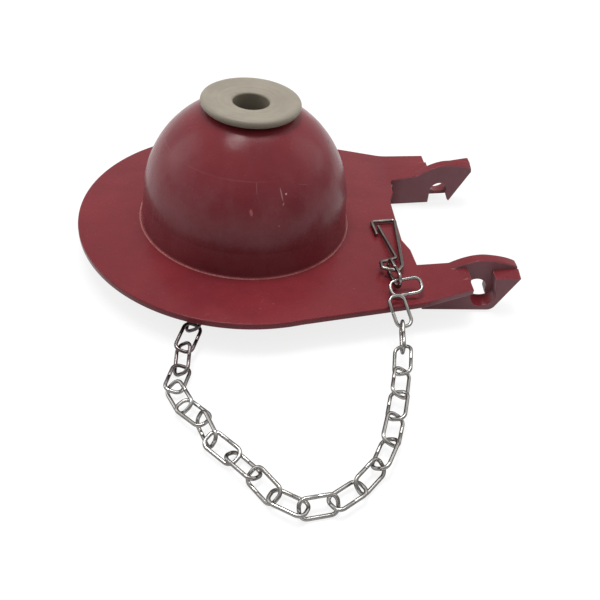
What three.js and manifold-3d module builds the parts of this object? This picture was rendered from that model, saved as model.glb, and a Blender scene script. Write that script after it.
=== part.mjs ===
// Toilet flapper lying bulb up, with its chain and wire snap laid round it.
// Millimetres, +Z up. Z = 0 is the surface it lies on, the Z axis is the axis of the bulb,
// and +X points to the two hanging ears.
import * as THREE from 'three';
import { mergeVertices } from 'three/addons/utils/BufferGeometryUtils.js';
import Module from 'manifold-3d';

// Sealing disc and bulb
const PLATE_TOP = 8.0;
const PLATE_THICK = 1.65;
const DISC_R = 41.0;
const DISC_EDGE = 0.4;
const BULB_R = 25.0;
const BULB_CENTRE_UP = 5.9;
const BULB_FOOT_R = 25.75;
const BULB_WALL = 2.2;
const CROWN_UP = 28.9;
const CROWN_WALL = 2.3;
const CROWN_HOLE_R = 6.5;
const BOSS_R = 13.0;

// Yoke: the web beside the disc, and the two arms that carry the ears
const YOKE_START_X = 12.0;
const YOKE_START_HALF = 39.13;
const FLANGE_END_X = 52.1;
const FLANGE_END_HALF = 29.95;
const WEB_X = 39.4;
const WEB_HALF = 8.8;
const WEB_STEP_X = 40.9;
const WEB_STEP_HALF = 12.8;
const ARM_X = 41.3;
const ARM_INNER_HALF = 18.8;
const ARM_SPLAY = 0.07;
const FLANGE_RISE = 2.2;
const FAR_ARM_LIFT = 0.4;
const FAR_EAR_TWIST = 0.12;

// Ears: an inner wall notched from below and an outer wall slotted from above
const EAR_INNER_THICK = 2.7;
const EAR_OUTER_HALF = 26.2;
const EAR_TIP_X = 64.6;
const TIP_RISE = 2.75;
const TIP_CANT = 1.0;
const TIP_BACK = 0.3;
const ARCH_START_X = 48.4;
const ARCH_RISE = 4.85;
const PEG_X = 56.3;
const NOTCH_X = 55.95;
const NOTCH_R = 2.4;
const NOTCH_TOP = -0.9;
const SLOT_X = 56.75;
const SLOT_R = 3.05;
const SLOT_FLOOR = -6.2;
const SLOT_LEAN = 1.3;
const FOOT_DRAFT = 0.75;
const EAR_FOOT_X = 59.9;
const EAR_FOOT = -7.5;
const TOOTH_X = 60.1;
const TOOTH_TIP = -7.1;

// Plug in the crown of the bulb
const PLUG_R = 11.5;
const PLUG_THICK = 2.1;
const PLUG_DISH = 0.55;
const PLUG_BORE_R = 4.2;
const PLUG_BARB = 1.3;
const PLUG_BARB_LENGTH = 2.6;
const PLUG_AROUND = 40;

// Chain and wire snap, measured from the near edge of the yoke where the chain comes up over it
const CHAIN_EDGE_X = 34.5;
const LINK_LENGTH = 8.0;
const LINK_WIDTH = 4.5;
const LINK_WIRE = 0.8;
const LINK_CORNER = 1.45;
const SNAP_WIRE = 0.95;
const SNAP_BEND = 0.9;
const LUG_THICK = 1.4;
const LUG_EYE_R = 1.7;
const LUG_RIM = 1.1;
const LUG_EYE_DROP = 0.3;
const EYE_UNDER_LINK = 0.55;

// Gap left between separate pieces that touch on the real flapper
const CLEARANCE = 0.3;

const AROUND = 56;

const wasm = await Module();
wasm.setup();

function toSolid(geometry) {
  const bare = geometry.index ? geometry.toNonIndexed() : geometry.clone();
  bare.deleteAttribute('normal');
  bare.deleteAttribute('uv');
  const welded = mergeVertices(bare, 1e-4);
  return new wasm.Manifold(new wasm.Mesh({
    numProp: 3,
    vertProperties: new Float32Array(welded.attributes.position.array),
    triVerts: new Uint32Array(welded.index.array),
  }));
}

function toGeometry(solid) {
  const mesh = solid.getMesh();
  const geometry = new THREE.BufferGeometry();
  geometry.setAttribute('position', new THREE.BufferAttribute(new Float32Array(mesh.vertProperties), 3));
  geometry.setIndex(new THREE.BufferAttribute(new Uint32Array(mesh.triVerts), 1));
  geometry.computeVertexNormals();
  return geometry;
}

// A turned solid from [radius, height] points. The points run up the outside and back down the
// inside, and the lathe's own Y axis is stood up along Z.
function turned(points, around = AROUND) {
  const geometry = new THREE.LatheGeometry(points.map(([r, z]) => new THREE.Vector2(r, z)), around);
  geometry.rotateX(Math.PI / 2);
  return geometry;
}

function arcPoints(radius, centreZ, fromZ, toZ, steps) {
  const from = Math.asin((fromZ - centreZ) / radius);
  const to = Math.asin((toZ - centreZ) / radius);
  const points = [];
  for (let i = 0; i <= steps; i += 1) {
    const angle = from + (to - from) * i / steps;
    points.push([radius * Math.cos(angle), centreZ + radius * Math.sin(angle)]);
  }
  return points;
}

// Disc and hollow bulb in one turn. The cavity opens through the hole in the crown.
function makeDiscAndBulb() {
  const under = PLATE_TOP - PLATE_THICK;
  const centre = PLATE_TOP + BULB_CENTRE_UP;
  const crown = PLATE_TOP + CROWN_UP;
  const roof = crown - CROWN_WALL;
  const inner = BULB_R - BULB_WALL;
  return turned([
    [0, under],
    [DISC_R - DISC_EDGE, under],
    [DISC_R, under + DISC_EDGE],
    [DISC_R, PLATE_TOP - DISC_EDGE],
    [DISC_R - DISC_EDGE, PLATE_TOP],
    [BULB_FOOT_R + 0.5, PLATE_TOP],
    [BULB_FOOT_R, PLATE_TOP + 0.5],
    ...arcPoints(BULB_R, centre, centre, crown, 16),
    [CROWN_HOLE_R, crown],
    [CROWN_HOLE_R, roof],
    ...arcPoints(inner, centre, roof, centre, 10),
    [inner, PLATE_TOP + 1],
    [inner - 1, PLATE_TOP],
    [0, PLATE_TOP],
  ]);
}

// Flat boss under the bulb, on which the flapper stands.
function makeBoss() {
  const shape = new THREE.Shape();
  shape.absarc(0, 0, BOSS_R, 0.1, 2 * Math.PI + 0.1, false);
  return new THREE.ExtrudeGeometry(shape, {
    depth: PLATE_TOP - PLATE_THICK / 2, bevelEnabled: false, curveSegments: 19,
  });
}

// An outline drawn in plan, made into a slab with its top face at the given height.
function slab(outline, top, thick) {
  const shape = new THREE.Shape(outline.map(([x, y]) => new THREE.Vector2(x, y)));
  const geometry = new THREE.ExtrudeGeometry(shape, { depth: thick, bevelEnabled: false });
  geometry.translate(0, 0, top - thick);
  return geometry;
}

// The bay between the arms, as a cutter for the disc.
function makeBay() {
  const half = [
    [WEB_X, WEB_HALF],
    [WEB_STEP_X, WEB_STEP_HALF],
    [ARM_X, ARM_INNER_HALF],
    [EAR_TIP_X, ARM_INNER_HALF],
  ];
  const mirrored = half.map(([x, y]) => [x, -y]).reverse();
  return slab([...mirrored, ...half], PLATE_TOP + 1, PLATE_THICK + 2);
}

// Half width of the straight outer edge that runs from the disc to the end of the flange.
function outerHalf(x) {
  const along = (x - YOKE_START_X) / (FLANGE_END_X - YOKE_START_X);
  return YOKE_START_HALF + (FLANGE_END_HALF - YOKE_START_HALF) * along;
}

function makeWeb() {
  const half = [
    [WEB_X, WEB_HALF],
    [WEB_STEP_X, WEB_STEP_HALF],
    [ARM_X, ARM_INNER_HALF],
    [ARM_X, outerHalf(ARM_X)],
    [YOKE_START_X, YOKE_START_HALF],
    [0, DISC_R - DISC_EDGE - 1.5],
  ];
  const mirrored = half.map(([x, y]) => [x, -y]).reverse();
  return slab([...mirrored, ...half], PLATE_TOP, PLATE_THICK);
}

// Shears a geometry: height grows with X past fromX by lift, and Y grows by splay.
function lean(geometry, fromX, lift, splay) {
  const matrix = new THREE.Matrix4().set(
    1, 0, 0, 0,
    splay, 1, 0, -splay * fromX,
    lift, 0, 1, -lift * fromX,
    0, 0, 0, 1,
  );
  return geometry.applyMatrix4(matrix);
}

// An outline drawn in X and height, made into an upright wall between two Y values.
function wall(shape, yNear, yFar) {
  const geometry = new THREE.ExtrudeGeometry(shape, {
    depth: yFar - yNear, bevelEnabled: false, curveSegments: 8,
  });
  geometry.rotateX(Math.PI / 2);
  geometry.translate(0, yFar, PLATE_TOP);
  return geometry;
}

// Inner ear wall: its arched top stands above the flange, and the notch for the peg opens down.
function innerEarShape() {
  const notchCentre = NOTCH_TOP - NOTCH_R;
  const shape = new THREE.Shape();
  shape.moveTo(ARM_X + 0.7, -PLATE_THICK / 2);
  shape.lineTo(ARM_X + 1.4, -PLATE_TOP + 0.05);
  shape.lineTo(NOTCH_X - NOTCH_R + 0.25, EAR_FOOT + 0.1);
  shape.lineTo(NOTCH_X - NOTCH_R, notchCentre);
  shape.absarc(NOTCH_X, notchCentre, NOTCH_R, Math.PI, 0, true);
  shape.lineTo(NOTCH_X + NOTCH_R + 0.05, notchCentre - 0.9);
  shape.lineTo(TOOTH_X - 0.6, TOOTH_TIP + 0.6);
  shape.lineTo(TOOTH_X, TOOTH_TIP);
  shape.lineTo(EAR_TIP_X, TIP_RISE);
  shape.lineTo(EAR_TIP_X - TIP_BACK, TIP_RISE + TIP_CANT);
  shape.quadraticCurveTo(PEG_X + 5.2, ARCH_RISE, PEG_X + 0.8, ARCH_RISE);
  shape.quadraticCurveTo(PEG_X - 3.2, ARCH_RISE, ARCH_START_X, FLANGE_RISE * 0.62);
  return shape;
}

// Outer ear wall: flush with the flange, and the slot for the peg opens up.
function outerEarShape() {
  const slotCentre = SLOT_FLOOR + SLOT_R;
  const shape = new THREE.Shape();
  shape.moveTo(ARM_X + 0.7, -PLATE_THICK / 2);
  shape.lineTo(ARM_X + 1.4, -PLATE_TOP + 0.1);
  shape.lineTo(EAR_FOOT_X - 1.2, EAR_FOOT);
  shape.quadraticCurveTo(EAR_FOOT_X, EAR_FOOT, EAR_FOOT_X + 0.6, EAR_FOOT + 1.0);
  shape.lineTo(EAR_TIP_X, TIP_RISE);
  shape.lineTo(SLOT_X + SLOT_R - SLOT_LEAN, FLANGE_RISE);
  shape.lineTo(SLOT_X + SLOT_R, slotCentre);
  shape.absarc(SLOT_X, slotCentre, SLOT_R, 0, Math.PI, true);
  shape.lineTo(SLOT_X - SLOT_R - SLOT_LEAN, FLANGE_RISE);
  shape.lineTo(FLANGE_END_X - 1, FLANGE_RISE);
  return shape;
}

// Lets the inner face of the outer ear wall follow the splay of the inner one. Its underside is
// lifted there, so that the foot and the floor of the slot fall away outwards, and so is its tip.
function fitInnerFace(geometry) {
  const middle = (ARM_INNER_HALF + EAR_INNER_THICK + EAR_OUTER_HALF) / 2;
  const position = geometry.attributes.position;
  for (let i = 0; i < position.count; i += 1) {
    const x = position.getX(i);
    const y = position.getY(i);
    const z = position.getZ(i);
    if (y < middle) {
      const below = Math.max(0, PLATE_TOP + SLOT_FLOOR / 2 - z) / (-SLOT_FLOOR / 2);
      const tip = x > EAR_TIP_X - TIP_BACK ? TIP_CANT * 0.6 : 0;
      position.setXYZ(i, x, y + ARM_SPLAY * (x - ARM_X), z + FOOT_DRAFT * below + tip);
    }
  }
  return geometry;
}

// Lifts the far arm a little, and twists its ear so that the outer wall stands higher.
function bendFarArm(geometry) {
  const inside = ARM_INNER_HALF + EAR_INNER_THICK / 2;
  const position = geometry.attributes.position;
  for (let i = 0; i < position.count; i += 1) {
    const x = position.getX(i);
    const lift = FAR_ARM_LIFT * (x - WEB_X) / (EAR_TIP_X - WEB_X);
    const out = Math.max(0, position.getY(i) - inside) / (EAR_OUTER_HALF - inside);
    const twist = FAR_EAR_TWIST * Math.max(0, x - FLANGE_END_X) * out;
    position.setZ(i, position.getZ(i) + lift + twist);
  }
  return geometry;
}

// One arm on the +Y side: a rising flange over the two ear walls.
function makeArm() {
  const innerEnd = ARM_INNER_HALF + ARM_SPLAY * (FLANGE_END_X - ARM_X);
  const flange = slab([
    [ARM_X - 0.8, ARM_INNER_HALF],
    [FLANGE_END_X, innerEnd],
    [FLANGE_END_X, FLANGE_END_HALF],
    [ARM_X - 0.8, outerHalf(ARM_X - 0.8)],
  ], PLATE_TOP, PLATE_THICK);
  lean(flange, ARM_X - 0.8, FLANGE_RISE / (FLANGE_END_X - ARM_X + 0.8), 0);
  const split = ARM_INNER_HALF + EAR_INNER_THICK;
  const inner = lean(wall(innerEarShape(), ARM_INNER_HALF, split), ARM_X, 0, ARM_SPLAY);
  const outer = fitInnerFace(wall(outerEarShape(), split - 0.2, EAR_OUTER_HALF));
  return toSolid(flange).add(toSolid(inner)).add(toSolid(outer));
}

function mirrorY(solid) {
  const geometry = toGeometry(solid);
  geometry.applyMatrix4(new THREE.Matrix4().makeScale(1, -1, 1));
  const index = geometry.index.array;
  for (let i = 0; i < index.length; i += 3) {
    const first = index[i];
    index[i] = index[i + 1];
    index[i + 1] = first;
  }
  return toSolid(geometry);
}

// Route of the chain as it lies in the photograph: where each link passes into the next, from
// the lug to the yoke, as X, Y from the near edge and height above the table.
const CHAIN_JOINTS = [
  [-10.4, 1.7, 4.6],
  [-11.5, -3.9, 3.8],
  [-13.2, -9.1, 2.9],
  [-13.4, -14.2, 1.6],
  [-14.6, -19.2, 1.8],
  [-12.1, -24.0, 1.8],
  [-8.8, -27.2, 2.1],
  [-6.7, -32.1, 2.1],
  [-2.7, -35.6, 1.7],
  [1.1, -39.5, 1.7],
  [4.6, -44.0, 1.7],
  [9.5, -46.8, 1.9],
  [15.2, -45.8, 1.9],
  [20.3, -42.5, 2.0],
  [24.5, -38.3, 2.4],
  [27.4, -33.0, 2.8],
  [29.4, -27.3, 3.0],
  [31.2, -21.4, 3.2],
  [32.8, -15.6, 3.5],
  [33.9, -9.7, 4.4],
  [34.4, -3.9, 5.9],
];

// How far each link between two joints is rolled about its own length, in degrees.
const LINK_ROLLS = [
  35, -10, 40, -10, 40, 0, 65, 15, -25, 40, -10, 50, -10, 45, -35, 25, -25, 25, -30, 85,
];

// The last links don't hang end in end: over the plate's edge, on its top, and on the wire snap.
// Centre X, Y from the near edge, height above the plate, then heading, slope and roll in degrees.
const LINKS_HIGH = [
  [34.1, -1.5, 0, 112, 34, -5],
  [36.1, 4.5, 2.1, 8, 9, 24],
  [33.9, 8.4, 2.6, 102, -1, 88],
];

// Corners of the wire snap from the free end of its gate to its catch: X, Y from the near edge,
// and how far each is lifted from the plate towards the eye that holds the last link.
const SNAP_CORNERS = [
  [33.8, 29.4, 0],
  [35.9, 15.7, 0.6],
  [34.1, 14.4, 0.8],
  [31.7, 13.4, 0.92],
  [31.6, 11.1, 1],
  [35.3, 10.1, 1],
  [36.7, 12.2, 0.84],
  [38.6, 32.5, 0],
  [32.3, 31.3, 0],
  [32.9, 25.8, 0],
];

// Every link as centre, heading, slope and roll. Those on the route lie from joint to joint.
function linkRows() {
  const edge = outerHalf(CHAIN_EDGE_X);
  const laid = LINK_ROLLS.map((roll, i) => {
    const from = new THREE.Vector3(...CHAIN_JOINTS[i]);
    const along = new THREE.Vector3(...CHAIN_JOINTS[i + 1]).sub(from);
    const centre = from.addScaledVector(along, 0.5);
    const heading = THREE.MathUtils.radToDeg(Math.atan2(along.y, along.x));
    const slope = THREE.MathUtils.radToDeg(Math.atan2(along.z, Math.hypot(along.x, along.y)));
    return [centre.x, centre.y - edge, centre.z, heading, slope, roll];
  });
  const high = LINKS_HIGH.map(([x, y, z, ...turns]) => [x, y - edge, PLATE_TOP + z, ...turns]);
  return [...laid, ...high];
}

// A round wire ring pulled out into a link with rounded corners, lying flat along X.
function makeLink() {
  const steps = 16;
  const geometry = new THREE.TorusGeometry(LINK_CORNER, LINK_WIRE / 2, 8, steps);
  geometry.rotateZ(Math.PI / steps);
  const alongX = (LINK_LENGTH - LINK_WIRE) / 2 - LINK_CORNER;
  const alongY = (LINK_WIDTH - LINK_WIRE) / 2 - LINK_CORNER;
  const position = geometry.attributes.position;
  for (let i = 0; i < position.count; i += 1) {
    const x = position.getX(i);
    const y = position.getY(i);
    position.setXY(i, x + Math.sign(x) * alongX, y + Math.sign(y) * alongY);
  }
  return geometry;
}

function poseOf([x, y, z, heading, slope, roll]) {
  const pose = new THREE.Group();
  pose.position.set(x, y, z);
  pose.rotation.set(
    THREE.MathUtils.degToRad(roll),
    -THREE.MathUtils.degToRad(slope),
    THREE.MathUtils.degToRad(heading),
    'ZYX',
  );
  return pose;
}

// Lug under the disc: a blade across the way the chain leaves, with an eye for the first link.
function makeLug() {
  const [x, y, z, heading, slope] = linkRows()[0];
  const angle = THREE.MathUtils.degToRad(heading);
  const reach = (LINK_LENGTH - LINK_WIRE) / 2;
  const eye = new THREE.Vector2(x - reach * Math.cos(angle), y - reach * Math.sin(angle));
  const eyeUp = z + reach * Math.sin(THREE.MathUtils.degToRad(-slope)) - LUG_EYE_DROP;
  const outer = LUG_EYE_R + LUG_RIM;
  const shape = new THREE.Shape();
  shape.moveTo(-outer - 0.4, PLATE_TOP - PLATE_THICK / 2);
  shape.lineTo(-outer, eyeUp);
  shape.absarc(0, eyeUp, outer, Math.PI, 0, false);
  shape.lineTo(outer + 0.4, PLATE_TOP - PLATE_THICK / 2);
  const hole = new THREE.Path();
  hole.absarc(0, eyeUp, LUG_EYE_R, 0, 2 * Math.PI, true);
  shape.holes.push(hole);
  const geometry = new THREE.ExtrudeGeometry(shape, {
    depth: LUG_THICK, bevelEnabled: false, curveSegments: 10,
  });
  geometry.translate(0, 0, -LUG_THICK / 2);
  geometry.rotateX(Math.PI / 2);
  geometry.rotateZ(angle);
  geometry.translate(eye.x, eye.y, 0);
  return geometry;
}

// Plug: a dished disc on the crown, with a barbed sleeve through the hole in the rubber.
function makePlug() {
  const seat = PLATE_TOP + CROWN_UP + CLEARANCE;
  const top = seat + PLUG_THICK;
  const sleeve = CROWN_HOLE_R - CLEARANCE;
  const barbTop = PLATE_TOP + CROWN_UP - CROWN_WALL - CLEARANCE;
  const low = barbTop - PLUG_BARB_LENGTH;
  return turned([
    [PLUG_BORE_R, low],
    [sleeve - 0.4, low],
    [sleeve + PLUG_BARB, barbTop - 0.6],
    [sleeve + PLUG_BARB, barbTop],
    [sleeve, barbTop],
    [sleeve, seat],
    [PLUG_R - 1.0, seat],
    [PLUG_R - 0.25, seat + 0.45],
    [PLUG_R, seat + 1.1],
    [PLUG_R - 0.3, top - 0.3],
    [PLUG_R - 1.0, top],
    [PLUG_R - 2.2, top - PLUG_DISH * 0.45],
    [PLUG_BORE_R + 0.4, top - PLUG_DISH],
    [PLUG_BORE_R, top - PLUG_DISH - 0.4],
    [PLUG_BORE_R, low],
  ], PLUG_AROUND);
}

// Wire along straight runs, with each corner rounded by the bend length.
function wireAlong(points, diameter, bend) {
  const path = new THREE.CurvePath();
  let from = points[0];
  for (let i = 1; i < points.length - 1; i += 1) {
    const corner = points[i];
    const back = Math.min(0.48, bend / corner.distanceTo(points[i - 1]));
    const on = Math.min(0.48, bend / corner.distanceTo(points[i + 1]));
    const before = corner.clone().lerp(points[i - 1], back);
    const after = corner.clone().lerp(points[i + 1], on);
    path.add(new THREE.LineCurve3(from, before));
    path.add(new THREE.QuadraticBezierCurve3(before, corner, after));
    from = after;
  }
  path.add(new THREE.LineCurve3(from, points[points.length - 1]));
  const section = new THREE.Shape();
  section.absarc(0, 0, diameter / 2, 0, 2 * Math.PI, false);
  return new THREE.ExtrudeGeometry(section, { steps: 64, curveSegments: 4, extrudePath: path });
}

// Wire snap: gate leg, eye that holds the last link, back leg, top bar and catch.
function makeSnap() {
  const edge = outerHalf(CHAIN_EDGE_X);
  const lay = PLATE_TOP + CLEARANCE + SNAP_WIRE / 2;
  const eye = linkRows().at(-1)[2] - EYE_UNDER_LINK;
  return wireAlong(SNAP_CORNERS.map(([x, y, lift]) => (
    new THREE.Vector3(x, y - edge, lay + (eye - lay) * lift)
  )), SNAP_WIRE, SNAP_BEND);
}

const rubber = new THREE.MeshStandardMaterial({ color: 0x80383d, roughness: 0.45, metalness: 0 });
const nylon = new THREE.MeshStandardMaterial({ color: 0xb3a896, roughness: 0.5, metalness: 0 });
const chainSteel = new THREE.MeshStandardMaterial({ color: 0x9a958d, roughness: 0.3, metalness: 1 });
const snapSteel = new THREE.MeshStandardMaterial({ color: 0x8d857c, roughness: 0.35, metalness: 1 });

const flapper = new THREE.Group();

function addMesh(parent, name, geometry, material) {
  const mesh = new THREE.Mesh(geometry, material.clone());
  mesh.name = name;
  parent.add(mesh);
}

const body = toSolid(makeDiscAndBulb())
  .subtract(toSolid(makeBay()))
  .add(toSolid(makeBoss()))
  .add(toSolid(makeWeb()))
  .add(toSolid(bendFarArm(toGeometry(makeArm()))))
  .add(mirrorY(makeArm()))
  .add(toSolid(makeLug()));
addMesh(flapper, 'flapper_body', toGeometry(body), rubber);
addMesh(flapper, 'bulb_plug', makePlug(), nylon);
addMesh(flapper, 'wire_snap', makeSnap(), snapSteel);

linkRows().forEach((row, i) => {
  const pose = poseOf(row);
  addMesh(pose, `chain_link_${String(i + 1).padStart(2, '0')}`, makeLink(), chainSteel);
  flapper.add(pose);
});

export default flapper;
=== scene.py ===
from math import atan2, cos, degrees, pi, radians, sin, tan

import bmesh
import bpy
from mathutils import Matrix, Vector


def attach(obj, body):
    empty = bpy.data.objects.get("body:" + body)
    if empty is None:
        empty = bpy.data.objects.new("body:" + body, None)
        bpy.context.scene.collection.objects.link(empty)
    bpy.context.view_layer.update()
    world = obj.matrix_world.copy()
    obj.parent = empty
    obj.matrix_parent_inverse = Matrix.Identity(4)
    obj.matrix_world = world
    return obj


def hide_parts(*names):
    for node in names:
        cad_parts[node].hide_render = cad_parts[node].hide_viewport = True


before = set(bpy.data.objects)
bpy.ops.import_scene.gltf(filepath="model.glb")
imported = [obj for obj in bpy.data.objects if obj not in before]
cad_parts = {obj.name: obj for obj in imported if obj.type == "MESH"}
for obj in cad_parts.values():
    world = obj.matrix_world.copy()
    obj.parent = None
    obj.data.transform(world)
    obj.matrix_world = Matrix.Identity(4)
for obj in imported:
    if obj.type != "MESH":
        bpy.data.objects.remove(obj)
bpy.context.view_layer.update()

# Sealing plate: the flat part of the red rubber moulding, a round disc that runs out into a
# yoke with two rising arms. It is moulded in one with the bulb, the ears and the boss below.
MM = 0.001
plate_top = 8.0 * MM
plate_thick = 1.65 * MM
plate_under = plate_top - plate_thick
yoke_start = Vector((12.0, 39.13, 0)) * MM
flange_end = Vector((52.1, 29.95, 0)) * MM
flange_rise = 2.2 * MM
arm_start = 40.5 * MM
bay_edge = 39.4 * MM
ear_tip = 64.6 * MM
ear_side = 26.2 * MM
far_arm_lift = 0.4 * MM
far_twist_from = 20.15 * MM
far_ear_twist = 0.12


def draw_on(outline, vert, points):
    """Carries an outline on from vert through the points, and returns its new end."""
    for point in points:
        vert = bmesh.ops.extrude_vert_indiv(outline, verts=[vert])["verts"][0]
        vert.co = point
    return vert


def sweep_on(outline, vert, centre, axis, angle, steps):
    """Carries an outline on along a round arc, and returns its new end."""
    swept = bmesh.ops.spin(
        outline, geom=[vert], cent=centre, axis=axis, angle=angle, steps=steps
    )
    return next(v for v in swept["geom_last"] if isinstance(v, bmesh.types.BMVert))


def slab_from(outline, move, edge, segments=3):
    """Fills a closed outline, pushes it out along move, and rounds its rim edges."""
    bmesh.ops.remove_doubles(outline, verts=outline.verts[:], dist=1e-6)
    bmesh.ops.contextual_create(outline, geom=outline.edges[:])
    pushed = bmesh.ops.extrude_face_region(outline, geom=outline.faces[:])
    moved = [v for v in pushed["geom"] if isinstance(v, bmesh.types.BMVert)]
    bmesh.ops.translate(outline, verts=moved, vec=move)
    bmesh.ops.recalc_face_normals(outline, faces=outline.faces[:])
    along = Vector(move).normalized()
    rims = [e for e in outline.edges
            if abs((e.verts[0].co - e.verts[1].co).normalized().dot(along)) < 0.5]
    bmesh.ops.bevel(
        outline, geom=rims, affect="EDGES", offset=edge, offset_type="OFFSET",
        segments=segments, profile=0.5, material=-1, clamp_overlap=True,
    )


def raise_arms(part):
    """Lifts the far arm a little, and twists its ear so that the outer wall stands higher."""
    for v in part.verts:
        if v.co.y > 0 and v.co.x > bay_edge:
            v.co.z += far_arm_lift * (v.co.x - bay_edge) / (ear_tip - bay_edge)
            out = max(0.0, v.co.y - far_twist_from) / (ear_side - far_twist_from)
            v.co.z += far_ear_twist * max(0.0, v.co.x - flange_end.x) * out


plate = bmesh.new()
rim_start = plate.verts.new(yoke_start)
rim_end = sweep_on(plate, rim_start, (0, 0, 0), (0, 0, 1),
                   2 * (pi - atan2(yoke_start.y, yoke_start.x)), 180)
bay_half = [(52.1, 29.95), (52.1, 19.56), (41.3, 18.8), (40.9, 12.8), (39.4, 8.8)]
bay = [(x, -y) for x, y in bay_half] + bay_half[::-1]
last = draw_on(plate, rim_end, [Vector((x, y, 0)) * MM for x, y in bay])
plate.edges.new((last, rim_start))
bmesh.ops.translate(plate, verts=plate.verts[:], vec=(0, 0, plate_under))
slab_from(plate, (0, 0, plate_thick), 0.32 * MM)
for cut in (39.0, 40.0, 40.6, 41.2, 42.0):
    bmesh.ops.bisect_plane(plate, geom=plate.verts[:] + plate.edges[:] + plate.faces[:],
                           plane_co=(cut * MM, 0, 0), plane_no=(1, 0, 0), dist=1e-7)
slope = flange_rise / (flange_end.x - arm_start)
bend = 3.0 * MM
for v in plate.verts:
    if abs(v.co.y) > 18.0 * MM or v.co.x > 41.4 * MM:
        past = v.co.x - arm_start
        ease = min(max(past / bend + 0.5, 0.0), 1.0)
        v.co.z += slope * max(past, 0.0) if ease in (0.0, 1.0) else slope * ease * ease * bend / 2
raise_arms(plate)

# Bulb: the hollow dome that traps air. It is turned about its own axis, with a thin flash line
# round its foot, where the two halves of the mould met, and a hole in the crown for the plug.
bulb_radius = 25.0 * MM
bulb_centre = 13.9 * MM
crown_up = 36.9 * MM
bulb_wall = 2.2 * MM
crown_angle = atan2(crown_up - bulb_centre,
                    (bulb_radius ** 2 - (crown_up - bulb_centre) ** 2) ** 0.5)
inner_radius = bulb_radius - bulb_wall
roof_up = 34.6 * MM
roof_angle = atan2(roof_up - bulb_centre,
                   (inner_radius ** 2 - (roof_up - bulb_centre) ** 2) ** 0.5)


def across(points):
    """Points given as radius and height in millimetres, in the plane that is turned."""
    return [Vector((r, 0, z)) * MM for r, z in points]


bulb = bmesh.new()
foot = bulb.verts.new(Vector((22.3, 0, 7.2)) * MM)
wall_low = draw_on(bulb, foot, across([
    (26.22, 7.2), (26.22, 8.04), (26.18, 8.13), (26.1, 8.14), (26.05, 8.07),
    (25.95, 8.1), (25.84, 8.24), (25.77, 8.5), (25.72, 8.9), (25.42, 11.2), (25.0, 13.9)]))
wall_high = sweep_on(bulb, wall_low, (0, 0, bulb_centre), (0, -1, 0), crown_angle, 56)
lip = draw_on(bulb, wall_high, across([(6.9, 36.9), (6.6, 36.8), (6.5, 36.6), (6.5, 34.6)]))
roof = draw_on(bulb, lip, [Vector((inner_radius * cos(roof_angle), 0, roof_up))])
inside = sweep_on(bulb, roof, (0, 0, bulb_centre), (0, 1, 0), roof_angle, 24)
last = draw_on(bulb, inside, across([(22.8, 8.8), (22.3, 8.1)]))
bulb.edges.new((last, foot))
bmesh.ops.spin(bulb, geom=bulb.verts[:] + bulb.edges[:], cent=(0, 0, 0), axis=(0, 0, 1),
               angle=2 * pi, steps=180, use_merge=True)
bmesh.ops.remove_doubles(bulb, verts=bulb.verts[:], dist=1e-7)
bmesh.ops.recalc_face_normals(bulb, faces=bulb.faces[:])

# Ears: each arm carries two upright rubber walls that hold the peg between them. The inner one
# has an arched top and a notch from below, the outer one a slot from above.
arm_inner = 18.8 * MM
ear_split = 21.5 * MM
ear_splay = 0.07
splay_from = 41.3 * MM
ear_round = 0.28 * MM
tip_step = 0.6 * MM
foot_draft = 0.75 * MM
foot_from = 4.9 * MM
foot_depth = 3.1 * MM


def side_on(points):
    """Points given as X and height above the plate in millimetres, seen from the side."""
    return [Vector((x * MM, 0, z * MM + plate_top)) for x, z in points]


def arch_through(outline, vert, control, end, steps=10):
    """Carries a side outline on along a soft curve that leans on a control point."""
    start = vert.co.copy()
    control, end = side_on([control])[0], side_on([end])[0]
    soft = []
    for i in range(1, steps + 1):
        t = i / steps
        soft.append(start * (1 - t) ** 2 + control * 2 * t * (1 - t) + end * t * t)
    return draw_on(outline, vert, soft)


inner_wall = bmesh.new()
first = inner_wall.verts.new(side_on([(42.0, -0.9)])[0])
last = draw_on(inner_wall, first, side_on([(42.7, -7.95), (53.8, -7.4), (53.55, -3.3)]))
last = sweep_on(inner_wall, last, side_on([(55.95, -3.3)])[0], (0, 1, 0), pi, 24)
last = draw_on(inner_wall, last, side_on([(58.4, -4.2), (59.5, -6.5), (60.05, -7.0),
                                          (64.5, 2.65), (64.25, 3.6), (64.1, 3.75)]))
last = arch_through(inner_wall, last, (61.5, 4.85), (57.1, 4.85))
last = arch_through(inner_wall, last, (53.1, 4.85), (48.4, 1.3))
inner_wall.edges.new((last, first))
bmesh.ops.translate(inner_wall, verts=inner_wall.verts[:], vec=(0, arm_inner, 0))
slab_from(inner_wall, (0, ear_split - arm_inner, 0), ear_round)
for v in inner_wall.verts:
    v.co.y += ear_splay * (v.co.x - splay_from)

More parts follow.
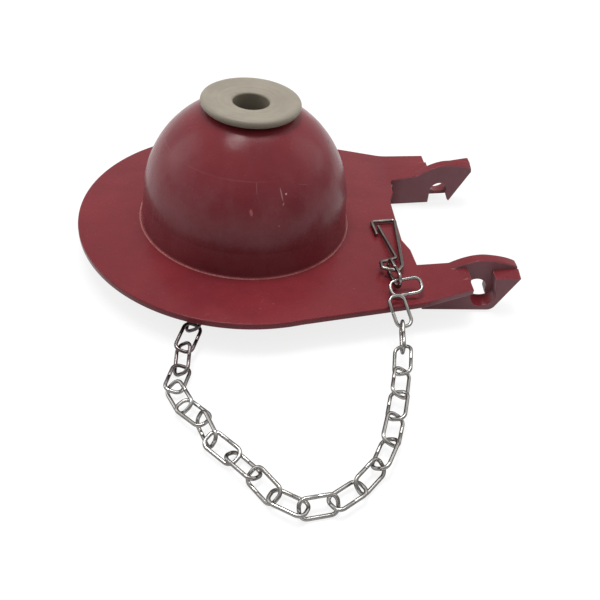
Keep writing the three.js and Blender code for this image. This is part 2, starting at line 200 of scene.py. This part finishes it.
outer_wall = bmesh.new()
first = outer_wall.verts.new(side_on([(42.0, -0.9)])[0])
last = draw_on(outer_wall, first, side_on([(42.7, -7.9), (58.7, -7.5)]))
last = arch_through(outer_wall, last, (59.9, -7.5), (60.5, -6.5), 6)
last = draw_on(outer_wall, last, side_on([(64.45, 2.3), (64.5, 2.6), (64.3, 2.75),
                                          (58.5, 2.2), (59.8, -3.15)]))
last = sweep_on(outer_wall, last, side_on([(56.75, -3.15)])[0], (0, 1, 0), pi, 28)
last = draw_on(outer_wall, last, side_on([(52.4, 2.2), (51.4, 2.19)]))
outer_wall.edges.new((last, first))
bmesh.ops.translate(outer_wall, verts=outer_wall.verts[:], vec=(0, ear_split, 0))
slab_from(outer_wall, (0, ear_side - ear_split, 0), ear_round)
for v in outer_wall.verts:
    if v.co.y < (ear_split + ear_side) / 2:
        if v.co.x > 63.8 * MM and v.co.z > 9.8 * MM:
            v.co.z += tip_step
        v.co.y += ear_splay * (v.co.x - splay_from)
        v.co.z += foot_draft * max(0.0, foot_from - v.co.z) / foot_depth

# Boss and chain lug: the flat round foot under the bulb, and the small drilled blade under the
# disc that the first link of the chain hangs in. Both are part of the same moulding.
boss_radius = 13.0 * MM
boss_tall = 7.2 * MM
boss = bmesh.new()
bmesh.ops.create_circle(boss, cap_ends=False, segments=72, radius=boss_radius)
slab_from(boss, (0, 0, boss_tall), 0.3 * MM)

lug_heading = radians(-101.1)
lug_way = Vector((cos(lug_heading), sin(lug_heading), 0))
lug_eye = Vector((-10.95, -35.08, 4.4)) * MM - lug_way * 3.6 * MM
lug_radius = 2.8 * MM
lug_hole = 1.7 * MM
lug_thick = 1.4 * MM
lug_reach = 3.3 * MM
lug = bmesh.new()
bmesh.ops.create_circle(lug, cap_ends=False, segments=32, radius=lug_radius)
bmesh.ops.create_circle(lug, cap_ends=False, segments=32, radius=lug_hole)
bmesh.ops.bridge_loops(lug, edges=lug.edges[:])
pushed = bmesh.ops.extrude_face_region(lug, geom=lug.faces[:])
bmesh.ops.translate(lug, verts=[v for v in pushed["geom"] if isinstance(v, bmesh.types.BMVert)],
                    vec=(0, 0, lug_thick))
for v in lug.verts:
    if v.co.y > 1.8 * MM and v.co.xy.length > 2.4 * MM:
        v.co.y = lug_reach
bmesh.ops.recalc_face_normals(lug, faces=lug.faces[:])
bmesh.ops.translate(lug, verts=lug.verts[:], vec=(0, 0, -lug_thick / 2))
bmesh.ops.transform(lug, verts=lug.verts[:], matrix=(
    Matrix.Translation(lug_eye)
    @ Matrix.Rotation(lug_heading, 4, "Z") @ Matrix.Rotation(pi / 2, 4, "X")))

# The red moulding as one piece. The second arm is the mirror of the first, and the far one is
# bent up a little. Smooth soft edges, since the rubber fills the corners of its mould.
moulding = bmesh.new()


def add_shape(shape, mirrored=False):
    """Adds a shape to the moulding, as it is or mirrored across the flapper."""
    scratch = bpy.data.meshes.new("shape")
    copy = shape.copy()
    if mirrored:
        bmesh.ops.scale(copy, vec=(1, -1, 1), verts=copy.verts[:])
        bmesh.ops.reverse_faces(copy, faces=copy.faces[:])
    if shape in (inner_wall, outer_wall):
        raise_arms(copy)
    copy.to_mesh(scratch)
    moulding.from_mesh(scratch)
    copy.free()
    bpy.data.meshes.remove(scratch)


for shape in (plate, bulb, inner_wall, outer_wall, boss, lug):
    add_shape(shape)
add_shape(inner_wall, mirrored=True)
add_shape(outer_wall, mirrored=True)


def finish_piece(shape, name, material, node):
    """Makes a shape a smooth shaded piece of the scene that stands for its CAD node."""
    data = bpy.data.meshes.new(name)
    shape.to_mesh(data)
    shape.free()
    for face in data.polygons:
        face.use_smooth = True
    data.set_sharp_from_angle(angle=radians(34))
    piece = bpy.data.objects.new(name, data)
    bpy.context.collection.objects.link(piece)
    weighted = piece.modifiers.new("flat_faces_lead", "WEIGHTED_NORMAL")
    weighted.keep_sharp = True
    data.materials.append(material)
    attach(piece, "root")
    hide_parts(node)


class Shader:
    """A material's node graph, with short calls for its nodes and its wires."""

    def __init__(self, name):
        self.material = bpy.data.materials.new(name)
        self.material.use_nodes = True
        self.nodes = self.material.node_tree.nodes
        self.wires = self.material.node_tree.links
        self.surface = self.nodes["Principled BSDF"]
        self.coordinates = self.nodes.new("ShaderNodeTexCoord")
        self.place = self.coordinates.outputs["Object"]

    def give(self, socket, value):
        if isinstance(value, bpy.types.NodeSocket):
            self.wires.new(value, socket)
        else:
            socket.default_value = value

    def noise(self, scale, detail=3.0, roughness=0.5, place=None):
        node = self.nodes.new("ShaderNodeTexNoise")
        self.give(node.inputs["Vector"], place or self.place)
        node.inputs["Scale"].default_value = scale
        node.inputs["Detail"].default_value = detail
        node.inputs["Roughness"].default_value = roughness
        return node.outputs["Fac"]

    def stretched(self, scale, centre=(0, 0, 0), turn=(0, 0, 0)):
        node = self.nodes.new("ShaderNodeMapping")
        node.vector_type = "TEXTURE"
        self.give(node.inputs["Vector"], self.place)
        node.inputs["Location"].default_value = centre
        node.inputs["Rotation"].default_value = turn
        node.inputs["Scale"].default_value = scale
        return node.outputs["Vector"]

    def ramp(self, value, low, high, to_low=0.0, to_high=1.0):
        node = self.nodes.new("ShaderNodeMapRange")
        node.interpolation_type = "SMOOTHSTEP"
        self.give(node.inputs["Value"], value)
        for name, number in (("From Min", low), ("From Max", high),
                             ("To Min", to_low), ("To Max", to_high)):
            node.inputs[name].default_value = number
        return node.outputs["Result"]

    def math(self, kind, a, b):
        node = self.nodes.new("ShaderNodeMath")
        node.operation = kind
        self.give(node.inputs[0], a)
        self.give(node.inputs[1], b)
        return node.outputs[0]

    def blend(self, share, a, b):
        node = self.nodes.new("ShaderNodeMix")
        node.data_type = "RGBA"
        self.give(node.inputs["Factor"], share)
        self.give(node.inputs["A"], a)
        self.give(node.inputs["B"], b)
        return node.outputs["Result"]

    def spot(self, centre, size, turn=(0, 0, 0)):
        """One at a point of the piece, fading to nothing at the given distances from it."""
        node = self.nodes.new("ShaderNodeVectorMath")
        node.operation = "LENGTH"
        self.give(node.inputs[0], self.stretched(size, centre, turn))
        return self.ramp(node.outputs["Value"], 0.6, 1.0, 1.0, 0.0)

    def bump(self, height, distance, strength=1.0, normal=None):
        node = self.nodes.new("ShaderNodeBump")
        node.inputs["Strength"].default_value = strength
        node.inputs["Distance"].default_value = distance
        self.give(node.inputs["Height"], height)
        if normal:
            self.give(node.inputs["Normal"], normal)
        return node.outputs["Normal"]

    def axis(self, which):
        node = self.nodes.new("ShaderNodeSeparateXYZ")
        self.give(node.inputs[0], self.place)
        return node.outputs[which]


rubber = Shader("red_rubber")
deep = (0.148, 0.018, 0.024, 1)
bright = (0.178, 0.022, 0.028, 1)
dusty = (0.30, 0.11, 0.12, 1)
edge_highlight_pink = (0.52, 0.19, 0.17, 1)
sheen_grey = (0.265, 0.115, 0.130, 1)
cloud = rubber.ramp(rubber.noise(70.0, 4.0, 0.6), 0.30, 0.70)
colour = rubber.blend(cloud, deep, bright)
specks = rubber.ramp(rubber.noise(2300.0, 2.0, 0.5), 0.66, 0.76)
dust_field = rubber.ramp(rubber.noise(110.0, 3.0, 0.6), 0.42, 0.68)
dust = rubber.math("MULTIPLY", rubber.math("MULTIPLY", specks, dust_field), 0.75)
colour = rubber.blend(dust, colour, dusty)

# Painted sheen: upright faces get a greyer, paler colour that stands in for the reflection on them.
# It is stronger on the ears and weaker low on the dome.
faced = rubber.nodes.new("ShaderNodeSeparateXYZ")
rubber.give(faced.inputs[0], rubber.coordinates.outputs["Normal"])
upright = rubber.ramp(rubber.math("ABSOLUTE", faced.outputs["Z"], 0.0), 0.25, 0.95, 1.0, 0.0)
sheen_patches = rubber.ramp(rubber.noise(90.0, 5.0, 0.7), 0.30, 0.66, 0.08, 0.32)
sheen_patches = rubber.math("ADD", sheen_patches,
                      rubber.ramp(rubber.axis("X"), 38.0 * MM, 46.0 * MM, 0.0, 0.74))
streaks = rubber.ramp(rubber.noise(1.0, 3.0, 0.6, rubber.stretched((0.0045, 0.0045, 0.020))),
                      0.40, 0.70)
sheen_patches = rubber.math("ADD", sheen_patches, rubber.math("MULTIPLY", streaks, 0.08))
sheen_height = rubber.math("MAXIMUM", rubber.ramp(rubber.axis("Z"), 12.5 * MM, 17.0 * MM, 0.45, 1.0),
                    rubber.ramp(rubber.axis("X"), 38.0 * MM, 46.0 * MM))
painted_sheen = rubber.math("MULTIPLY", upright, rubber.math("MULTIPLY", sheen_patches, sheen_height))
colour = rubber.blend(painted_sheen, colour, sheen_grey)

# Scuffs of the bulb: a faint ring where it was rubbed, one pink nick and a few pale scratches.
up = rubber.axis("Z")
ring = rubber.math("SUBTRACT", 1.0, rubber.ramp(
    rubber.math("ABSOLUTE", rubber.math("SUBTRACT", up, 29.55 * MM), 0.0), 0.03 * MM, 0.16 * MM))
ring = rubber.math("MULTIPLY", ring, rubber.ramp(rubber.noise(55.0, 2.0), 0.46, 0.60, 0.03, 0.25))
colour = rubber.blend(ring, colour, dusty)
nick = rubber.spot(Vector((0.35, -22.9, 23.95)) * MM, Vector((0.42, 0.9, 0.95)) * MM, (0, -0.2, 0))
colour = rubber.blend(rubber.math("MULTIPLY", nick, 0.6), colour, (0.50, 0.14, 0.15, 1))
for centre, size, turn, share in (
    ((6.8, -20.0, 27.1), (0.14, 1.4, 2.0), (0, -0.3, 0), 0.42),
    ((7.8, -19.8, 27.1), (0.26, 0.8, 0.24), (0, 0, 0), 0.80),
    ((7.3, -21.1, 25.3), (0.20, 1.0, 0.4), (0, 0.3, 0), 0.35),
    ((6.6, -23.1, 20.9), (0.24, 0.8, 0.2), (0, 0, 0), 0.35),
    ((1.3, -20.4, 28.9), (0.12, 1.2, 2.4), (0, -0.1, 0), 0.15),
    ((11.7, -17.2, 28.0), (1.9, 1.4, 0.10), (0, 0.25, 0.2), 0.09),
):
    mark = rubber.spot(Vector(centre) * MM, Vector(size) * MM, turn)
    colour = rubber.blend(rubber.math("MULTIPLY", mark, share), colour, (0.55, 0.36, 0.34, 1))
for centre, size in (((18.3, -2.2, 30.7), (0.5, 1.2, 0.3)), ((21.9, -3.4, 25.4), (0.5, 1.2, 0.35))):
    mark = rubber.spot(Vector(centre) * MM, Vector(size) * MM)
    colour = rubber.blend(rubber.math("MULTIPLY", mark, 0.7), colour, (0.03, 0.006, 0.008, 1))

# Soft corners, and a painted highlight: a paler line along the edges, where they catch the light.
soft = rubber.nodes.new("ShaderNodeBevel")
soft.samples = 6
soft.inputs["Radius"].default_value = 0.22 * MM
facing = rubber.nodes.new("ShaderNodeNewGeometry")
turned_by = rubber.nodes.new("ShaderNodeVectorMath")
turned_by.operation = "DOT_PRODUCT"
rubber.give(turned_by.inputs[0], soft.outputs["Normal"])
rubber.give(turned_by.inputs[1], facing.outputs["Normal"])
painted_edge_highlight = rubber.ramp(turned_by.outputs["Value"], 0.88, 0.995, 1.0, 0.0)
painted_edge_highlight = rubber.math("MULTIPLY", painted_edge_highlight, rubber.ramp(rubber.noise(240.0, 3.0), 0.25, 0.6, 0.4, 1.0))
colour = rubber.blend(painted_edge_highlight, colour, edge_highlight_pink)
rubber.give(rubber.surface.inputs["Base Color"], colour)

rough = rubber.ramp(rubber.noise(160.0, 4.0, 0.65), 0.25, 0.75, 0.18, 0.28)
rough = rubber.math("ADD", rough, rubber.math("MULTIPLY", specks, 0.12))
rough = rubber.math("ADD", rough, rubber.math("MULTIPLY", painted_sheen, 0.10))
rough = rubber.math("ADD", rough, rubber.math("MULTIPLY", streaks, 0.07))
rubber.give(rubber.surface.inputs["Roughness"], rough)
rubber.surface.inputs["Specular IOR Level"].default_value = 0.16
wave = rubber.bump(rubber.noise(75.0, 3.0, 0.55), 0.45 * MM, 0.45, soft.outputs["Normal"])
grain = rubber.bump(rubber.noise(1500.0, 3.0, 0.6), 0.02 * MM, 0.5, wave)
rubber.give(rubber.surface.inputs["Normal"], grain)

finish_piece(moulding, "rubber_moulding", rubber.material, "flapper_body")

# Plug: a pale nylon disc pressed into the crown. Its dished top has the faint rings of turning,
# and a barbed sleeve below it holds it in the rubber.
plug = bmesh.new()
first = plug.verts.new(Vector((4.2, 0, 31.7)) * MM)
last = draw_on(plug, first, across([
    (5.8, 31.7), (7.4, 33.7), (7.5, 33.9), (7.5, 34.3), (6.2, 34.3), (6.2, 37.2),
    (10.3, 37.2), (10.7, 37.3), (11.05, 37.5), (11.3, 37.8), (11.45, 38.15), (11.5, 38.5),
    (11.42, 38.8), (11.25, 39.05), (10.95, 39.22), (10.6, 39.3), (10.2, 39.28), (9.8, 39.18),
    (9.3, 39.03), (8.7, 38.93), (7.9, 38.86), (7.75, 38.80), (7.6, 38.84), (6.4, 38.78),
    (6.25, 38.72), (6.1, 38.76), (5.2, 38.74), (4.7, 38.70), (4.38, 38.58), (4.22, 38.36),
    (4.2, 38.1), (4.2, 36.0), (4.2, 34.0)]))
plug.edges.new((last, first))
bmesh.ops.spin(plug, geom=plug.verts[:] + plug.edges[:], cent=(0, 0, 0), axis=(0, 0, 1),
               angle=2 * pi, steps=120, use_merge=True)
bmesh.ops.remove_doubles(plug, verts=plug.verts[:], dist=1e-7)
bmesh.ops.recalc_face_normals(plug, faces=plug.faces[:])

nylon = Shader("plug_nylon")
colour = nylon.blend(nylon.ramp(nylon.noise(120.0, 4.0, 0.6), 0.3, 0.7),
                     (0.232, 0.201, 0.154, 1), (0.272, 0.239, 0.187, 1))
grime = nylon.ramp(nylon.noise(420.0, 4.0, 0.7), 0.52, 0.72, 0.0, 0.25)
colour = nylon.blend(grime, colour, (0.22, 0.18, 0.135, 1))
nylon.give(nylon.surface.inputs["Base Color"], colour)
rings = nylon.nodes.new("ShaderNodeTexWave")
rings.wave_type = "RINGS"
rings.rings_direction = "Z"
rings.inputs["Scale"].default_value = 420.0
rings.inputs["Distortion"].default_value = 0.4
nylon.give(rings.inputs["Vector"], nylon.place)
nylon.give(nylon.surface.inputs["Roughness"],
           nylon.ramp(nylon.noise(300.0, 3.0), 0.3, 0.7, 0.42, 0.58))
turning = nylon.bump(rings.outputs["Fac"], 0.02 * MM, 0.2)
nylon.give(nylon.surface.inputs["Normal"],
           nylon.bump(nylon.noise(1800.0, 3.0, 0.6), 0.02 * MM, 0.4, turning))
nylon.surface.inputs["Subsurface Weight"].default_value = 0.15
nylon.surface.inputs["Subsurface Radius"].default_value = (0.0015, 0.0012, 0.0009)
finish_piece(plug, "crown_plug", nylon.material, "bulb_plug")

# Chain: twenty-three links of drawn steel wire, each bent round a former until its two cut ends
# meet on one long side. They hang loosely in each other, but links 21 and 22 only lie together.
wire = 0.79 * MM
link_corner = 1.45 * MM
link_half = Vector((3.6, 1.85)) * MM


def bend_wire(shape, thick, corners, bend, sides):
    """Pushes a round section along straight runs, and turns it about each corner between them."""
    way = (corners[1] - corners[0]).normalized()
    bmesh.ops.create_circle(
        shape, cap_ends=True, radius=thick / 2, segments=sides,
        matrix=Matrix.Translation(corners[0]) @ way.to_track_quat("Z", "Y").to_matrix().to_4x4())
    ring = shape.edges[:]
    at = corners[0].copy()
    for here, after in zip(corners[1:-1], corners[2:]):
        onward = (after - here).normalized()
        angle = way.angle(onward)
        reach = bend * tan(angle / 2)
        stop = here - way * reach
        ring = push_wire(shape, ring, stop - at)
        axle = way.cross(onward).normalized()
        steps = max(3, round(angle / radians(11)))
        swept = bmesh.ops.spin(shape, geom=ring, cent=stop + axle.cross(way) * bend,
                               axis=axle, angle=angle, steps=steps)
        ring = [e for e in swept["geom_last"] if isinstance(e, bmesh.types.BMEdge)]
        at = here + onward * reach
        way = onward
    ring = push_wire(shape, ring, corners[-1] - at)
    bmesh.ops.contextual_create(shape, geom=ring)
    bmesh.ops.recalc_face_normals(shape, faces=shape.faces[:])
    ends = [e for f in shape.faces if len(f.verts) == sides for e in f.edges]
    bmesh.ops.bevel(shape, geom=ends, affect="EDGES", offset=thick * 0.09, segments=2,
                    profile=0.5, material=-1)


def push_wire(shape, ring, move):
    """Carries the open end of a wire straight on."""
    pushed = bmesh.ops.extrude_edge_only(shape, edges=ring)["geom"]
    bmesh.ops.translate(shape, verts=[v for v in pushed if isinstance(v, bmesh.types.BMVert)],
                        vec=move)
    return [e for e in pushed if isinstance(e, bmesh.types.BMEdge)]


def make_link():
    """One link lying flat along X, with its butt joint halfway along one long side."""
    shape = bmesh.new()
    x, y = link_half
    gap = 0.035 * MM
    bend_wire(shape, wire, [Vector(p) for p in (
        (gap, y, 0), (x, y, 0), (x, -y, 0), (-x, -y, 0), (-x, y, 0), (-gap, y, 0))],
        link_corner, 16)
    return shape


drawn = Shader("chain_wire")
streak = drawn.noise(1400.0, 3.0, 0.6)
tarnish = drawn.ramp(drawn.noise(200.0, 2.0, 0.5), 0.42, 0.68, 0.0, 0.55)
colour = drawn.blend(tarnish, (0.49, 0.475, 0.455, 1), (0.28, 0.26, 0.24, 1))
# Painted shade: the wire is painted darker where it turns away from the view, towards its edges.
away = drawn.nodes.new("ShaderNodeLayerWeight")
away.inputs["Blend"].default_value = 0.5
painted_edge_shade = drawn.ramp(away.outputs["Facing"], 0.08, 0.55)
colour = drawn.blend(painted_edge_shade, colour, (0.085, 0.078, 0.074, 1))
# Painted shade: the links close to the disc's edge on the left are painted darker and reddish, for
# the shade under the disc and its reflection.
painted_disc_shade = drawn.ramp(drawn.axis("Y"), -54.0 * MM, -47.0 * MM)
painted_disc_shade = drawn.math("MULTIPLY", painted_disc_shade, drawn.ramp(drawn.axis("X"), 0.0, 2.0 * MM, 0.85, 0.0))
colour = drawn.blend(painted_disc_shade, colour, (0.085, 0.062, 0.064, 1))
drawn.give(drawn.surface.inputs["Base Color"], colour)
drawn.surface.inputs["Metallic"].default_value = 1.0
drawn.give(drawn.surface.inputs["Roughness"], drawn.ramp(streak, 0.3, 0.7, 0.17, 0.24))
drawn.give(drawn.surface.inputs["Normal"], drawn.bump(streak, 0.006 * MM, 0.10))

# Joints of the chain's route over the table, as X, Y from the yoke's near edge and height, and
# how far the link that starts at each is rolled. The last three links lie over and on the plate.
chain_over = 34.5 * MM
yoke_edge = yoke_start.lerp(
    flange_end, (chain_over - yoke_start.x) / (flange_end.x - yoke_start.x)).y / MM
joints = [
    (-10.4, 1.7, 4.6), (-11.5, -3.9, 3.8), (-13.2, -9.1, 2.9), (-13.4, -14.2, 1.6),
    (-14.6, -19.2, 1.8), (-12.1, -24.0, 1.8), (-8.8, -27.2, 2.1), (-6.7, -32.1, 2.1),
    (-2.7, -35.6, 1.7), (1.1, -39.5, 1.7), (4.6, -44.0, 1.7), (9.5, -46.8, 1.9),
    (15.2, -45.8, 1.9), (20.3, -42.5, 2.0), (24.5, -38.3, 2.4), (27.4, -33.0, 2.8),
    (29.4, -27.3, 3.0), (31.2, -21.4, 3.2), (32.8, -15.6, 3.5), (33.9, -9.7, 4.4),
    (34.4, -3.9, 5.9),
]
rolls = [35, -10, 40, -10, 40, 0, 65, 15, -25, 40, -10, 50, -10, 45, -35, 25, -25, 25, -30, 85]
laid = []
for start, end, roll in zip(joints, joints[1:], rolls):
    along = Vector(end) - Vector(start)
    middle = Vector(start).lerp(Vector(end), 0.5)
    laid.append((*middle, degrees(atan2(along.y, along.x)),
                 degrees(atan2(along.z, along.xy.length)), roll))
laid += [
    (34.1, -1.5, 8.0, 112, 34, -5), (36.1, 4.5, 10.1, 8, 9, 24), (33.9, 8.4, 10.6, 102, -1, 88),
]
for number, (x, y, z, heading, slope, roll) in enumerate(laid, 1):
    link = make_link()
    half_turn = pi if number % 3 == 1 else 0.0
    bmesh.ops.transform(link, verts=link.verts[:], matrix=(
        Matrix.Translation(Vector((x, y - yoke_edge, z)) * MM)
        @ Matrix.Rotation(radians(heading), 4, "Z")
        @ Matrix.Rotation(radians(-slope), 4, "Y")
        @ Matrix.Rotation(radians(roll) + half_turn, 4, "X")))
    finish_piece(link, f"wire_link_{number:02d}", drawn.material,
                 f"chain_link_{number:02d}")

# Wire snap: one length of spring wire, bent into an eye for the last link, two legs and a
# catch that the gate leg springs behind. It lies on the plate beside the bay.
snap_wire = 0.9 * MM
lay = 8.775
eye_up = 10.05
snap_corners = [
    (33.8, 29.4, 0), (35.9, 15.7, 0.6), (34.1, 14.4, 0.8), (31.7, 13.4, 0.92),
    (31.6, 11.1, 1), (35.3, 10.1, 1), (36.7, 12.2, 0.84), (38.6, 32.5, 0),
    (32.3, 31.3, 0), (32.9, 25.8, 0),
]
snap = bmesh.new()
bend_wire(snap, snap_wire, [Vector((x, y - yoke_edge, lay + (eye_up - lay) * lift)) * MM
                            for x, y, lift in snap_corners], 0.75 * MM, 20)
dull = Shader("snap_wire")
streak = dull.noise(1100.0, 3.0, 0.6)
tarnish = dull.ramp(dull.noise(180.0, 4.0, 0.65), 0.38, 0.66)
colour = dull.blend(tarnish, (0.46, 0.42, 0.385, 1), (0.24, 0.205, 0.185, 1))
away = dull.nodes.new("ShaderNodeLayerWeight")
away.inputs["Blend"].default_value = 0.5
# Painted shade: the snap wire is painted darker where it turns away from the view, towards its
# edges.
colour = dull.blend(dull.ramp(away.outputs["Facing"], 0.12, 0.62), colour, (0.105, 0.082, 0.076, 1))
dull.give(dull.surface.inputs["Base Color"], colour)
dull.surface.inputs["Metallic"].default_value = 1.0
dull.give(dull.surface.inputs["Roughness"], dull.ramp(streak, 0.3, 0.7, 0.26, 0.44))
dull.give(dull.surface.inputs["Normal"], dull.bump(streak, 0.015 * MM, 0.6))
finish_piece(snap, "spring_wire_snap", dull.material, "wire_snap")

# Studio: a pale table that keeps the shadow, soft light from above and both sides, and the
# camera at the photograph's place above the near side.
table = bmesh.new()
bmesh.ops.create_grid(table, x_segments=1, y_segments=1, size=40.0)
table_mesh = bpy.data.meshes.new("table")
table.to_mesh(table_mesh)
table.free()
floor = bpy.data.objects.new("table", table_mesh)
bpy.context.collection.objects.link(floor)
pale = Shader("pale_table")
pale.surface.inputs["Roughness"].default_value = 0.7
pale.surface.inputs["Specular IOR Level"].default_value = 0.2
rays = pale.nodes.new("ShaderNodeLightPath")
seen = pale.math("MAXIMUM", rays.outputs["Is Camera Ray"], pale.math(
    "MAXIMUM", rays.outputs["Is Glossy Ray"], rays.outputs["Is Transmission Ray"]))
pale.give(pale.surface.inputs["Base Color"], pale.blend(
    seen, (0.42, 0.42, 0.42, 1), (0.90, 0.90, 0.90, 1)))
glow = pale.nodes.new("ShaderNodeEmission")
glow.inputs["Strength"].default_value = 1.04
mixed = pale.nodes.new("ShaderNodeMixShader")
pale.give(mixed.inputs[0], pale.math("MULTIPLY", seen, 0.78))
pale.give(mixed.inputs[1], pale.surface.outputs[0])
pale.give(mixed.inputs[2], glow.outputs[0])
pale.give(pale.nodes["Material Output"].inputs["Surface"], mixed.outputs[0])
table_mesh.materials.append(pale.material)

world = bpy.data.worlds.new("studio")
bpy.context.scene.world = world
world.use_nodes = True
sky = world.node_tree
toward = sky.nodes.new("ShaderNodeTexCoord")
climb = sky.nodes.new("ShaderNodeVectorMath")
climb.operation = "DOT_PRODUCT"
climb.inputs[1].default_value = (0.0, 0.6, 0.8)
sky.links.new(toward.outputs["Generated"], climb.inputs[0])
level = sky.nodes.new("ShaderNodeMapRange")
level.interpolation_type = "SMOOTHSTEP"
for name, number in (("From Min", -0.1), ("From Max", 0.75), ("To Min", 0.29), ("To Max", 0.82)):
    level.inputs[name].default_value = number
sky.links.new(climb.outputs["Value"], level.inputs["Value"])
sky.links.new(level.outputs["Result"], sky.nodes["Background"].inputs["Strength"])
sky.nodes["Background"].inputs["Color"].default_value = (1, 1, 1, 1)


def soft_lamp(name, place, aim, width, height, power):
    """A flat soft lamp at a place, turned to a point."""
    lamp = bpy.data.lights.new(name, "AREA")
    lamp.shape = "RECTANGLE"
    lamp.size = width
    lamp.size_y = height
    lamp.energy = power
    holder = bpy.data.objects.new(name, lamp)
    holder.location = place
    holder.rotation_euler = (Vector(aim) - Vector(place)).to_track_quat("-Z", "Y").to_euler()
    bpy.context.collection.objects.link(holder)


soft_lamp("ceiling", (-0.07, 0.07, 0.62), (0, 0, 0.02), 0.30, 0.10, 2.1)
soft_lamp("skylight", (0.13, 0.10, 0.58), (0, 0, 0.02), 0.14, 0.14, 0.30)
soft_lamp("left", (-0.65, 0.20, 0.35), (0, 0, 0.02), 0.35, 0.45, 0.9)
soft_lamp("right", (0.60, 0.20, 0.40), (0, 0, 0.02), 0.35, 0.45, 0.6)

turn, dip, tilt = radians(8.97), radians(41.448), radians(-7.462)
forward = Vector((sin(turn) * cos(dip), cos(turn) * cos(dip), -sin(dip)))
sideways = Vector((cos(turn), -sin(turn), 0))
under = forward.cross(sideways)
right = sideways * cos(tilt) + under * sin(tilt)
below = sideways * -sin(tilt) + under * cos(tilt)
eye = bpy.data.cameras.new("eye")
eye.sensor_fit = "HORIZONTAL"
eye.sensor_width = 36.0
eye.lens = 40.717
eye.clip_start = 0.01
camera = bpy.data.objects.new("eye", eye)
camera.matrix_world = Matrix.Translation((-0.0058, -0.1441, 0.1076)) @ Matrix(
    (right, -below, -forward)).transposed().to_4x4()
bpy.context.collection.objects.link(camera)
bpy.context.scene.camera = camera
bpy.context.scene.view_settings.view_transform = "Standard"
